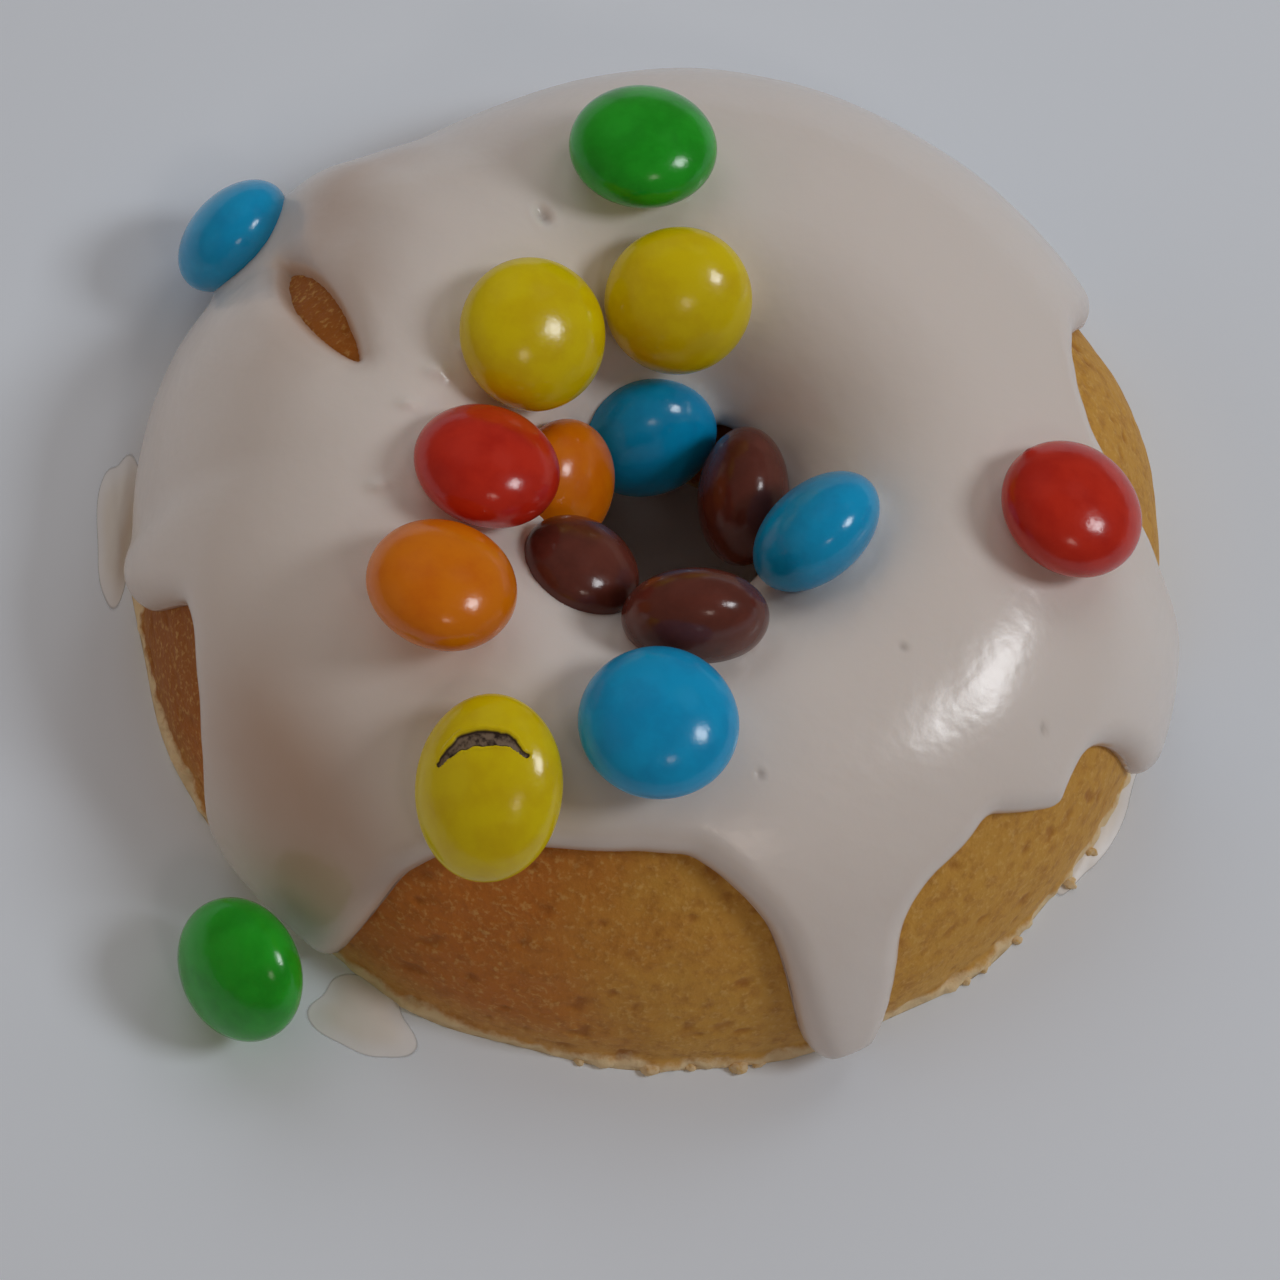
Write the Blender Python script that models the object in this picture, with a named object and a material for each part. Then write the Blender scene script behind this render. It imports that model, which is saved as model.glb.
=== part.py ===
"""Mini doughnut: a moulded ring of golden cake under poured icing, with sixteen sugar-shelled candies.

The doughnut stands on its flat base, +Z up, with the origin under the middle of the whole part. The
ring's own centre is RING_CENTRE, and every shape below is worked out about that centre. Azimuth 0 is
+X and azimuth -90 degrees is the front. Places on the ring are given by azimuth and by roll: roll 0
is the outer foot, 90 degrees the crest and 180 degrees the foot in the hole. Lengths are in metres.
"""
import bpy
import numpy as np
from mathutils import Matrix, Vector

MM = 0.001

# Centre of the ring, set off from the origin by as much as the candies stand out on one side more
RING_CENTRE = (0.35 * MM, 1.95 * MM, 0.0)

# Cake ring, as it leaves the mould
BASE_RADIUS = 31.4 * MM
CREST_RADIUS = 16.6 * MM
HOLE_RADIUS = 6.5 * MM
CREST_HEIGHT = 16.4 * MM
OUTER_POWER = 1.85
INNER_POWER = 2.0
LIP = 0.35 * MM
LIP_HEIGHT = 1.0 * MM
LIP_WAVE = 0.35

# How far the outer wall swells out, or is hollowed, round the ring: azimuth in degrees and millimetres
WALL_SWELLS = (
    (-150, 0.0), (-30, 0.0), (-20, 0.4), (-7, 0.8), (-1, 0.6), (5, -0.1), (10, 0.1), (21, 1.0), (28, 1.5),
    (35, 1.4), (41, 0.6), (46, -0.4), (51, 0.3), (61, 0.35), (75, 0.6), (88, 0.55), (99, 0.15), (109, -0.7),
    (117, -1.5), (124, -2.3), (130, -2.8), (136, -3.1), (142, -2.0), (147, -0.9), (150, 0.2), (154, -1.4),
    (159, -2.2), (165, -2.2), (172, -1.35), (180, -1.2), (186, -1.5), (192, -1.8), (196, -2.0),
    (200, -1.0), (205, -0.3),
)
WALL_EASING = 2.0

# Icing skin
GAP = 0.3 * MM
ICING = 1.5 * MM
LOW_THINNING = 0.5 * MM
LOW_LIMIT = 0.7 * CREST_HEIGHT
EDGE_ROUND = 1.9 * MM
EDGE_BLUNT = 0.2
SKIN_SAG = 0.17 * MM
DRIP_BEADS = ((-56.0, 5.0, 0.8 * MM), (-158.5, 3.5, 0.6 * MM))
ICING_HOLE_ROLL = 152.0
ICING_HOLE_WAVE = 4.0
EDGE_EASING = 1.2
SLIT_LENGTH = 12.0 * MM
SLIT_WIDTH = 2.3 * MM
SLIT_POINTING = 0.8
SLIT_THINNING = 0.5 * MM
SLIT_THIN_REACH = 3.0 * MM
SLIT_AZIMUTH = 168.8
SLIT_ROLL = 55.3
SLIT_TURN = 32.0
SLIT_CUT_DEPTHS = (-1.0 * MM, 4.0 * MM)

# Candies: radius and half thickness of a whole one, and how deep it is pressed in the icing
CANDY_RADIUS = 4.6 * MM
CANDY_HALF = 2.9 * MM
SINK = 0.8 * MM

# Mesh fineness
CAKE_COLUMNS = 84
CAKE_ROLLS = (0, 2.5, 4.5, 8, 15, 25, 36, 48, 62, 77, 92, 108, 124, 140, 156, 168, 180)
ICING_COLUMNS = 126
ICING_OUTER_ROWS = 11
ICING_INNER_ROWS = 11
CANDY_SIDES = 15
CANDY_RINGS = 6
SLIT_SIDES = 20
STEEP_EDGE_WEIGHT = 0.35
EDGE_BATCH = 80

# Lower edge of the icing round the ring: azimuth and the roll at which the icing ends, in degrees.
# High rolls are bare patches, low rolls are drips that reach down to the foot.
ICING_EDGE = (
    (-172, 5), (-165, 5), (-160, 8), (-155, 14), (-153.5, 20), (-152.3, 28), (-151, 35), (-148, 36),
    (-146, 35), (-140, 30), (-135, 22), (-131, 9), (-127, 5), (-123, 4), (-113, 4), (-111.2, 8),
    (-110.4, 20), (-109.7, 29), (-108.9, 36), (-107.3, 42), (-104.5, 49), (-100, 55), (-91.5, 58.5),
    (-81, 61.5), (-74, 61.5), (-70, 57.5), (-66, 51), (-63, 43), (-61.3, 28), (-60, 13), (-58.8, 5),
    (-51, 5), (-49.7, 13), (-49.3, 26), (-48.4, 34), (-46.5, 40), (-43, 44), (-37, 46), (-33, 48.5),
    (-28, 42), (-24, 37), (-21, 40), (-17.5, 41.5), (-14.5, 38), (-12, 30), (-10.7, 20), (-9.8, 8),
    (-7, 5), (4, 5), (7.5, 10), (10.5, 34), (17, 52), (24, 58.5), (29.5, 59.5), (35, 57), (40, 50),
    (43.5, 32), (46, 14), (50, 7), (75, 5), (105, 6), (125, 9), (145, 6), (165, 8),
)

SUGAR_COLOURS = {
    "green": (0.020, 0.300, 0.025, 1.0),
    "yellow": (0.620, 0.470, 0.010, 1.0),
    "blue": (0.005, 0.220, 0.470, 1.0),
    "red": (0.550, 0.035, 0.015, 1.0),
    "orange": (0.680, 0.170, 0.005, 1.0),
    "brown": (0.130, 0.035, 0.025, 1.0),
}
CAKE_COLOUR = (0.50, 0.22, 0.05, 1.0)
ICING_COLOUR = (0.83, 0.79, 0.74, 1.0)


def near(azimuth, centre, width):
    """Smooth hump of height 1 about an azimuth, both in degrees."""
    away = (np.degrees(azimuth) - centre + 180.0) % 360.0 - 180.0
    return np.exp(-((away / width) ** 2))


def round_ring(azimuth, listed, easing):
    """Value at an azimuth from a list of azimuths in degrees and values, joined, with eased corners."""
    places = np.radians([point[0] for point in listed])
    values = [point[1] for point in listed]
    shifts = np.radians(np.linspace(-easing, easing, 5))
    return sum(np.interp(azimuth + shift, places, values, period=2.0 * np.pi) for shift in shifts) / 5.0


def cake_point(azimuth, roll):
    """Place on the moulded surface: two superellipse quarters that meet on the crest circle."""
    azimuth, roll = np.broadcast_arrays(azimuth, roll)
    side = np.abs(np.cos(roll))
    rise = np.clip(np.sin(roll), 0.0, 1.0)
    swell = round_ring(azimuth, WALL_SWELLS, WALL_EASING) * MM
    outer_width = BASE_RADIUS - CREST_RADIUS + swell * np.sqrt(rise)
    ragged = 1.0 + LIP_WAVE * (np.sin(17.0 * azimuth) + np.sin(11.0 * azimuth + 2.0))
    lip = LIP * ragged * np.exp(-((CREST_HEIGHT * rise / LIP_HEIGHT) ** 4))
    outer = CREST_RADIUS + outer_width * side ** (2.0 / OUTER_POWER) + lip
    inner = CREST_RADIUS - (CREST_RADIUS - HOLE_RADIUS) * side ** (2.0 / INNER_POWER)
    is_outer = np.cos(roll) >= 0.0
    radius = np.where(is_outer, outer, inner)
    height = CREST_HEIGHT * rise ** (2.0 / np.where(is_outer, OUTER_POWER, INNER_POWER))
    return np.stack([radius * np.cos(azimuth), radius * np.sin(azimuth), height], axis=-1)


def cake_normal(azimuth, roll):
    """Outward direction of the moulded surface, from small steps along and across the ring."""
    step = 1e-3
    along = cake_point(azimuth + step, roll) - cake_point(azimuth - step, roll)
    roll = np.clip(roll, 2.0 * step, np.pi - 2.0 * step)
    across = cake_point(azimuth, roll + step) - cake_point(azimuth, roll - step)
    normal = np.cross(along, across)
    return normal / np.linalg.norm(normal, axis=-1, keepdims=True)


def icing_edge(azimuth):
    """Roll at which the icing ends outside."""
    return np.radians(round_ring(azimuth, ICING_EDGE, EDGE_EASING))


def icing_hole_edge(azimuth):
    """Roll at which the icing ends in the hole, a slow wave."""
    wave = 0.6 * np.sin(3.0 * azimuth + 0.7) + 0.4 * np.sin(5.0 * azimuth)
    return np.radians(ICING_HOLE_ROLL + ICING_HOLE_WAVE * wave)


def icing_columns(count):
    """Azimuths of the mesh columns, closer together where the edge of the icing is steep."""
    fine = np.linspace(-np.pi, np.pi, 1441)
    slope = np.gradient(icing_edge(fine), fine)
    steps = np.sqrt(1.0 + (STEEP_EDGE_WEIGHT * slope[:-1]) ** 2)
    walked = np.concatenate([[0.0], np.cumsum(steps)])
    return np.interp(np.arange(count) / count, walked / walked[-1], fine)


def slit_frame():
    """Centre of the bare slit on the surface, with its long direction, cross direction and normal."""
    azimuth, roll = np.radians(SLIT_AZIMUTH), np.radians(SLIT_ROLL)
    centre = cake_point(azimuth, roll)
    normal = cake_normal(azimuth, roll)
    ring_way = np.array([-np.sin(azimuth), np.cos(azimuth), 0.0])
    up_side = np.cross(normal, ring_way)
    turn = np.radians(SLIT_TURN)
    long_way = np.cos(turn) * up_side + np.sin(turn) * ring_way
    return centre, long_way, np.cross(normal, long_way), normal


def slit_distance(points):
    """How far each point lies outside the lens-shaped slit, along the surface."""
    centre, long_way, cross_way, normal = slit_frame()
    away = points - centre
    along = away @ long_way / (SLIT_LENGTH / 2.0)
    across = np.abs(away @ cross_way)
    half_width = SLIT_WIDTH / 2.0 * np.clip(1.0 - along ** 2, 0.0, 1.0) ** SLIT_POINTING
    past_end = np.clip(np.abs(along) - 1.0, 0.0, None) * SLIT_LENGTH / 2.0
    return np.hypot(np.clip(across - half_width, 0.0, None), past_end)


def icing_thickness(azimuth, roll):
    """Thickness of the icing: even on top, fuller low down, rounded off towards every free edge."""
    points = cake_point(azimuth, roll)
    rim = np.linspace(-np.pi, np.pi, 721)
    edges = (cake_point(rim, icing_edge(rim)), cake_point(rim, icing_hole_edge(rim)))
    slit = slit_distance(points)
    nearest = slit
    for edge in edges:
        for start in range(0, len(rim), EDGE_BATCH):
            piece = edge[start:start + EDGE_BATCH]
            gap = np.linalg.norm(points[..., None, :] - piece, axis=-1).min(axis=-1)
            nearest = np.minimum(nearest, gap)
    low = np.clip(1.0 - points[..., 2] / LOW_LIMIT, 0.0, 1.0)
    beads = sum(rise * near(azimuth, place, span) for place, span, rise in DRIP_BEADS)
    full = ICING + low * (beads - LOW_THINNING) - SLIT_THINNING * np.exp(-((slit / SLIT_THIN_REACH) ** 2))
    run = np.clip(nearest / EDGE_ROUND, 0.0, 1.0)
    return full * (EDGE_BLUNT + (1.0 - EDGE_BLUNT) * np.sqrt(1.0 - (1.0 - run) ** 2))


def icing_top(azimuth, roll):
    """Place on the outer surface of the icing."""
    lift = GAP + SKIN_SAG + icing_thickness(azimuth, roll)
    return cake_point(azimuth, roll) + cake_normal(azimuth, roll) * lift[..., None]


def ring_mesh(name, grid):
    """Closed mesh from a grid of points that closes on itself in both directions."""
    columns, rows = grid.shape[:2]
    index = np.arange(columns * rows).reshape(columns, rows)
    after = np.roll(index, -1, axis=0)
    faces = np.stack([index, after, np.roll(after, -1, axis=1), np.roll(index, -1, axis=1)], axis=-1)
    mesh = bpy.data.meshes.new(name)
    mesh.from_pydata(grid.reshape(-1, 3).tolist(), [], faces.reshape(-1, 4).tolist())
    return mesh


def new_object(name, mesh, colour, roughness, coat=0.0):
    """Object at the ring's centre with its own material."""
    material = bpy.data.materials.new(name)
    material.use_nodes = True
    shader = material.node_tree.nodes["Principled BSDF"]
    shader.inputs["Base Color"].default_value = colour
    shader.inputs["Roughness"].default_value = roughness
    shader.inputs["Coat Weight"].default_value = coat
    mesh.materials.append(material)
    mesh.polygons.foreach_set("use_smooth", np.ones(len(mesh.polygons), dtype=bool))
    piece = bpy.data.objects.new(name, mesh)
    piece.location = RING_CENTRE
    bpy.context.scene.collection.objects.link(piece)
    return piece


def make_cake():
    """The ring of cake: moulded dome, ragged lip at the foot, flat base."""
    azimuth = np.linspace(-np.pi, np.pi, CAKE_COLUMNS, endpoint=False)
    roll = np.radians(CAKE_ROLLS)
    mesh = ring_mesh("cake", cake_point(azimuth[:, None], roll[None, :]))
    piece = new_object("cake", mesh, CAKE_COLOUR, 0.75)
    heights = np.array([vertex.co.z for vertex in mesh.vertices])
    for face in mesh.polygons:
        face.use_smooth = bool(heights[list(face.vertices)].max() > 1e-6)
    return piece


def make_cutter(mesh):
    """Wire-only object used to cut the icing."""
    cutter = bpy.data.objects.new("cutter", mesh)
    cutter.location = RING_CENTRE
    cutter.hide_render = True
    cutter.display_type = "WIRE"
    bpy.context.scene.collection.objects.link(cutter)
    return cutter


def make_slit_cutter():
    """Lens-shaped post through the icing, square to it."""
    centre, long_way, cross_way, normal = slit_frame()
    turn = np.linspace(2.0 * np.pi, 0.0, SLIT_SIDES, endpoint=False)
    along = np.cos(turn)[:, None] * long_way * SLIT_LENGTH / 2.0
    half_width = SLIT_WIDTH / 2.0 * np.sign(np.sin(turn)) * np.abs(np.sin(turn)) ** (2.0 * SLIT_POINTING)
    across = half_width[:, None] * cross_way
    outline = centre + along + across
    points = [tuple(point) for depth in SLIT_CUT_DEPTHS for point in outline + normal * depth]
    count = SLIT_SIDES
    faces = [tuple(range(count)), tuple(range(2 * count - 1, count - 1, -1))]
    for side in range(count):
        following = (side + 1) % count
        faces.append((side, side + count, following + count, following))
    mesh = bpy.data.meshes.new("slit")
    mesh.from_pydata(points, [], faces)
    return make_cutter(mesh)


def make_icing(cutters):
    """The poured icing: a skin between an inner surface just off the cake and its own top surface."""
    azimuth = icing_columns(ICING_COLUMNS)[:, None]
    start, stop = icing_edge(azimuth), icing_hole_edge(azimuth)
    even = np.linspace(0.0, 1.0, ICING_OUTER_ROWS)[None, :]
    eased = 0.5 * even + 0.5 * (1.0 - np.cos(np.pi * even)) / 2.0
    outer_roll = start + (stop - start) * eased
    outer = icing_top(azimuth, outer_roll)
    inner_roll = start + (stop - start) * np.linspace(1.0, 0.0, ICING_INNER_ROWS)[None, :]
    inner = cake_point(azimuth, inner_roll) + cake_normal(azimuth, inner_roll) * (GAP + SKIN_SAG)
    piece = new_object("icing", ring_mesh("icing", np.concatenate([outer, inner], axis=1)),
                       ICING_COLOUR, 0.3, 0.5)
    for cutter in cutters:
        cut = piece.modifiers.new("cut", "BOOLEAN")
        cut.operation = "DIFFERENCE"
        cut.solver = "EXACT"
        cut.object = cutter
    bpy.context.view_layer.update()
    evaluated = piece.evaluated_get(bpy.context.evaluated_depsgraph_get())
    finished = bpy.data.meshes.new_from_object(evaluated)
    piece.modifiers.clear()
    piece.data = finished
    return piece


def candy_grid(radius, half, sides, rings):
    """Rings of points on a flattened ball, its axis along Z, without its two poles."""
    polar = np.linspace(0.0, np.pi, rings + 2)[1:-1]
    turn = np.arange(sides) * 2.0 * np.pi / sides
    return np.stack([
        radius * np.sin(polar)[:, None] * np.cos(turn),
        radius * np.sin(polar)[:, None] * np.sin(turn),
        half * np.cos(polar)[:, None] * np.ones(sides),
    ], axis=-1)


def candy_mesh(name, radius, half, stretch, place):
    """Closed candy mesh, stretched along its own X and moved to its place."""
    rings = candy_grid(radius, half, CANDY_SIDES, CANDY_RINGS)
    rings[..., 0] *= stretch
    points = [tuple(point) for point in rings.reshape(-1, 3)]
    top, bottom = len(points), len(points) + 1
    points += [(0.0, 0.0, half), (0.0, 0.0, -half)]
    faces = []
    for ring in range(CANDY_RINGS - 1):
        for side in range(CANDY_SIDES):
            first = ring * CANDY_SIDES + side
            second = ring * CANDY_SIDES + (side + 1) % CANDY_SIDES
            faces.append((first, first + CANDY_SIDES, second + CANDY_SIDES, second))
    last = (CANDY_RINGS - 1) * CANDY_SIDES
    for side in range(CANDY_SIDES):
        following = (side + 1) % CANDY_SIDES
        faces.append((top, side, following))
        faces.append((bottom, last + following, last + side))
    mesh = bpy.data.meshes.new(name)
    mesh.from_pydata(points, [], faces)
    mesh.transform(place)
    return mesh


def facing(centre, lean, towards, turn=0.0):
    """Placement with the candy's axis leaning from the vertical towards an azimuth, in degrees."""
    lean, towards = np.radians(lean), np.radians(towards)
    axis = Vector((np.sin(lean) * np.cos(towards), np.sin(lean) * np.sin(towards), np.cos(lean)))
    return aligned(centre, axis, turn)


def aligned(centre, axis, turn=0.0):
    """Placement with the candy's axis along a direction and its own X turned about that axis."""
    spin = Matrix.Rotation(np.radians(turn), 4, "Z")
    tilt = axis.to_track_quat("Z", "Y").to_matrix().to_4x4()
    return Matrix.Translation(Vector(centre)) @ tilt @ spin


def on_icing(azimuth, roll, lean=0.0, towards=0.0, turn=0.0, half=CANDY_HALF, sink=SINK):
    """Placement on the icing, square to it, then leaned by some degrees towards an azimuth."""
    azimuth, roll = np.radians(azimuth), np.radians(roll)
    normal = cake_normal(azimuth, roll)
    centre = cake_point(azimuth, roll) + normal * (GAP + ICING + half - sink)
    pull = np.array([np.cos(np.radians(towards)), np.sin(np.radians(towards)), 0.0])
    axis = normal + pull * np.tan(np.radians(lean))
    return aligned(centre, Vector(axis).normalized(), turn)


def at(x, y, z):
    """A place given in millimetres."""
    return (x * MM, y * MM, z * MM)


# name, colour, placement, size against a whole candy, stretch
CANDIES = (
    ("candy_green_back", "green", on_icing(113, 82.5, 9, 103), 0.98, 1.0),
    ("candy_yellow_back", "yellow", on_icing(107, 116, 2, 30), 0.98, 1.0),
    ("candy_yellow_back_left", "yellow", on_icing(158.5, 110, 4, 178), 1.0, 1.0),
    ("candy_red_left", "red", facing(at(-10.65, -4.95, 19.1), 26, 80), 0.95, 1.0),
    ("candy_orange_left", "orange", facing(at(-11.0, -13.55, 20.9), 21, 79), 0.955, 1.0),
    ("candy_blue_front", "blue", facing(at(2.7, -17.8, 20.7), 4, 119), 1.0, 1.0),
    ("candy_yellow_front", "yellow", on_icing(-102.8, 66, 4, -160, 118), 0.93, 1.26),
    ("candy_red_right", "red", on_icing(6.9, 71, 14, 125), 0.97, 1.0),
    ("candy_blue_far_left", "blue", facing(at(-30.5, 11.65, 5.4), 69, 159), 0.91, 1.0),
    ("candy_blue_right", "blue", facing(at(8.5, -2.2, 17.0), 68, 154), 0.94, 1.0),
    ("candy_brown_front", "brown", facing(at(3.1, -10.1, 18.4), 81, 106), 0.935, 1.0),
    ("candy_brown_left", "brown", facing(at(-3.95, -7.95, 15.8), 32, 64), 0.79, 1.0),
    ("candy_orange_hole", "orange", facing(at(-6.35, -1.75, 12.85), 56, -8), 0.85, 1.0),
    ("candy_blue_hole", "blue", facing(at(-2.4, 4.3, 9.3), 70, -63), 0.94, 1.0),
    ("candy_brown_hole", "brown", facing(at(4.0, 1.5, 11.0), 91, 192), 0.93, 1.0),
    ("candy_green_foot", "green", facing(at(-16.4, -33.1, 4.5), 62, -128), 0.96, 1.0),
)


def build():
    """All nodes: the cake, the candies, and the icing with its slit and the candies' seats cut out."""
    for item in list(bpy.data.objects):
        bpy.data.objects.remove(item, do_unlink=True)
    make_cake()
    cutters = [make_slit_cutter()]
    for name, colour, place, size, stretch in CANDIES:
        radius, half = CANDY_RADIUS * size, CANDY_HALF * size
        shell = candy_mesh(name, radius, half, stretch, place)
        new_object(name, shell, SUGAR_COLOURS[colour], 0.25, 0.6)
        cutters.append(make_cutter(candy_mesh("seat", radius + GAP, half + GAP, stretch, place)))
    make_icing(cutters)
    for cutter in cutters:
        bpy.data.objects.remove(cutter, do_unlink=True)


build()
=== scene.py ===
"""Mini doughnut: a ring of golden cake under poured icing, with sugar-shelled chocolate candies.

Everything is in metres in the frame's own axes: +Z up, the front towards -Y. Places on the ring are
given by azimuth, which is 0 at +X, and by roll, which is 0 at the outer foot, a quarter turn on the
crest and half a turn at the foot in the hole.
"""

import bpy
import numpy as np
from mathutils import Matrix, Vector


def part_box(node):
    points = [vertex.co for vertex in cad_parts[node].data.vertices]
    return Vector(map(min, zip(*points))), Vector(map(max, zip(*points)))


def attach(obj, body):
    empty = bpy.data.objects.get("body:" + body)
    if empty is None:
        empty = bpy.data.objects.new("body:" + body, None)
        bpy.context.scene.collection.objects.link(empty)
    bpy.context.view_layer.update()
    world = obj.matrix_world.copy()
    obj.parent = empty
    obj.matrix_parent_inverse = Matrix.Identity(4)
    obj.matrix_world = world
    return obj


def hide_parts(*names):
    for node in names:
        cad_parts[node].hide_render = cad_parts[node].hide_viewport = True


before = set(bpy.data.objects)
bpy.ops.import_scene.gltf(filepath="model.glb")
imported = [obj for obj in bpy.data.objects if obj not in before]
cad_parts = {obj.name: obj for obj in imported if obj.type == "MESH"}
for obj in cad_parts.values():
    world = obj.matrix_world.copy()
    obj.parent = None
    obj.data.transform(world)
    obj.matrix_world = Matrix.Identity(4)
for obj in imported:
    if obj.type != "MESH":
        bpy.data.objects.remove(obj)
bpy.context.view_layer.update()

# The ring of cake. The real one is a soft batter baked in a ring-shaped mould: a smooth golden crust
# with the mould's round form, finely pored, and a paler ragged rim at the foot where it was torn out.
MM = 0.001
RING_CENTRE = np.array([0.35, 1.95, 0.0]) * MM
BASE_RADIUS = 31.4 * MM
CREST_RADIUS = 16.6 * MM
HOLE_RADIUS = 6.5 * MM
CREST_HEIGHT = 16.4 * MM
OUTER_POWER = 1.85
INNER_POWER = 2.0
LIP = 0.35 * MM
LIP_HEIGHT = 1.0 * MM
LIP_WAVE = 0.35

# How far the outer wall swells out, or below 0 is hollowed, round the ring: azimuth in degrees and
# millimetres. The easing is in degrees too: each value is the mean over a few azimuths within it.
WALL_SWELLS = (
    (-150, 0.0), (-30, 0.0), (-20, 0.4), (-7, 0.8), (-1, 0.6), (5, -0.1), (10, 0.1), (21, 1.0), (28, 1.5),
    (35, 1.3), (41, 0.6), (46, 0.1), (51, 0.3), (61, 0.35), (75, 0.6), (88, 0.55), (99, 0.15), (109, -0.7),
    (117, -1.5), (124, -2.3), (130, -2.8), (136, -3.1), (142, -2.0), (147, -0.9), (150, 0.2), (154, -1.4),
    (159, -2.2), (165, -2.2), (172, -1.35), (180, -1.2), (186, -1.5), (192, -1.8), (196, -2.0),
    (200, -1.0), (205, -0.3),
)
WALL_EASING = 2.0
EASING_STEPS = 5

CRUST_COLUMNS = 620
CRUST_ROWS = 128
CRUST_SHOWN_ROLL = 72.0
HIDDEN_ROWS = 24

# Relief of the crust, in millimetres.
BROAD_LUMPS = 0.08
FINE_LUMPS = 0.04
PORE_DEPTH = 0.12
TORN_BROAD = 0.26
TORN_FINE = 0.16

# Where pores, relief and tones come and go: between levels of noise, heights, and rolls in degrees.
PORE_LEVELS = (0.45, 0.85)
FLOOR_FADE = 0.25 * MM
FOOT_WAVER = 0.38 * MM
FOOT_HEIGHTS = (0.35 * MM, 1.50 * MM)
LOW_HEIGHTS = (0.6 * MM, 5.0 * MM)
# Between these rolls the crust in the hole is darkened with painted shade.
HOLE_SHADE_ROLLS = (100.0, 140.0)

# The browning, which is partly real and partly painted shade on the side away from the key lamp: how
# far its gold side is turned from +X, between which levels of the cosine it comes, and the azimuths and
# spans in degrees of two darker places on the left, which are painted shade.
BROWNED_AND_SHADED_TURN = np.radians(12.0)
BROWNED_AND_SHADED_LEVELS = (-0.1, 0.75)
DARKER_SHADED_PLACES = ((-150.0, 16.0), (167.0, 12.0))

CRUST_GOLD = (0.640, 0.335, 0.050, 1.0)
CRUST_BROWN = (0.560, 0.180, 0.020, 1.0)
CRUST_PALE = (0.740, 0.440, 0.120, 1.0)
# CRUST_DARK is the crust's own dark tone in its mottling, and is also mixed in as painted shade in the
# hole, in the pores and in two places on the left.
CRUST_DARK = (0.340, 0.105, 0.010, 1.0)
CRUST_FLECK = (0.780, 0.500, 0.160, 1.0)
CRUMB_PALE = (0.880, 0.680, 0.400, 1.0)

# Large odd numbers, and shifts with factors, that scramble a lattice corner and a seed.
CORNER_FACTORS = np.array([73856093, 19349663, 83492791])
SEED_FACTOR = 97531
SCRAMBLERS = ((13, 1274126177), (15, 668265263))
LOW_BITS = 0x7FFFFFFF
HALF_RANGE = 0x3FFFFF


def near(azimuth, centre, width):
    """Smooth hump of height 1 about an azimuth: e to the minus square of the angle over the width."""
    away = (np.degrees(azimuth) - centre + 180.0) % 360.0 - 180.0
    return np.exp(-((away / width) ** 2))


def lattice_noise(points, size, seed):
    """Smooth random heights from -1 to 1: every corner of a cubic lattice has a random value, and a
    point takes the mean of its cell's eight corners, weighted by an eased distance along each axis."""
    scaled = points / size
    cell = np.floor(scaled).astype(np.int64)
    share = scaled - cell
    share = share * share * (3.0 - 2.0 * share)
    total = np.zeros(points.shape[:-1])
    for corner in np.ndindex(2, 2, 2):
        mixed = (cell + corner) @ CORNER_FACTORS + seed * SEED_FACTOR
        for shift, factor in SCRAMBLERS:
            mixed = ((mixed ^ (mixed >> shift)) * factor) & LOW_BITS
        weight = np.prod(np.where(corner, share, 1.0 - share), axis=-1)
        total += weight * ((mixed >> 8) / HALF_RANGE - 1.0)
    return total


def eased(value, low, high):
    """0 below low, 1 above high, and a smooth S between them."""
    share = np.clip((value - low) / (high - low), 0.0, 1.0)
    return share * share * (3.0 - 2.0 * share)


def round_ring(azimuth, listed, easing):
    """Value at an azimuth from a list of azimuths in degrees and values: the listed ones are joined by
    straight lines, and the mean over a few near azimuths eases the corners."""
    places = np.radians([point[0] for point in listed])
    values = [point[1] for point in listed]
    shifts = np.radians(np.linspace(-easing, easing, EASING_STEPS))
    total = sum(np.interp(azimuth + shift, places, values, period=2.0 * np.pi) for shift in shifts)
    return total / EASING_STEPS


def ring_point(azimuth, roll):
    """Place on the moulded ring: the outer and the inner side are superellipse quarters that meet on
    the crest circle, the outer one swollen or hollowed by azimuth and with a ragged lip at the foot."""
    azimuth, roll = np.broadcast_arrays(azimuth, roll)
    side = np.abs(np.cos(roll))
    rise = np.clip(np.sin(roll), 0.0, 1.0)
    swell = round_ring(azimuth, WALL_SWELLS, WALL_EASING) * MM
    outer_width = BASE_RADIUS - CREST_RADIUS + swell * np.sqrt(rise)
    ragged = 1.0 + LIP_WAVE * (np.sin(17.0 * azimuth) + np.sin(11.0 * azimuth + 2.0))
    lip = LIP * ragged * np.exp(-((CREST_HEIGHT * rise / LIP_HEIGHT) ** 4))
    outer = CREST_RADIUS + outer_width * side ** (2.0 / OUTER_POWER) + lip
    inner = CREST_RADIUS - (CREST_RADIUS - HOLE_RADIUS) * side ** (2.0 / INNER_POWER)
    is_outer = np.cos(roll) >= 0.0
    radius = np.where(is_outer, outer, inner)
    height = CREST_HEIGHT * rise ** (2.0 / np.where(is_outer, OUTER_POWER, INNER_POWER))
    return RING_CENTRE + np.stack([radius * np.cos(azimuth), radius * np.sin(azimuth), height], axis=-1)


def ring_normal(azimuth, roll):
    """Outward direction of the ring, the cross product of small steps along it and up it."""
    step = 1e-3
    along = ring_point(azimuth + step, roll) - ring_point(azimuth - step, roll)
    roll = np.clip(roll, 2.0 * step, np.pi - 2.0 * step)
    across = ring_point(azimuth, roll + step) - ring_point(azimuth, roll - step)
    normal = np.cross(along, across)
    return normal / np.linalg.norm(normal, axis=-1, keepdims=True)


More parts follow.
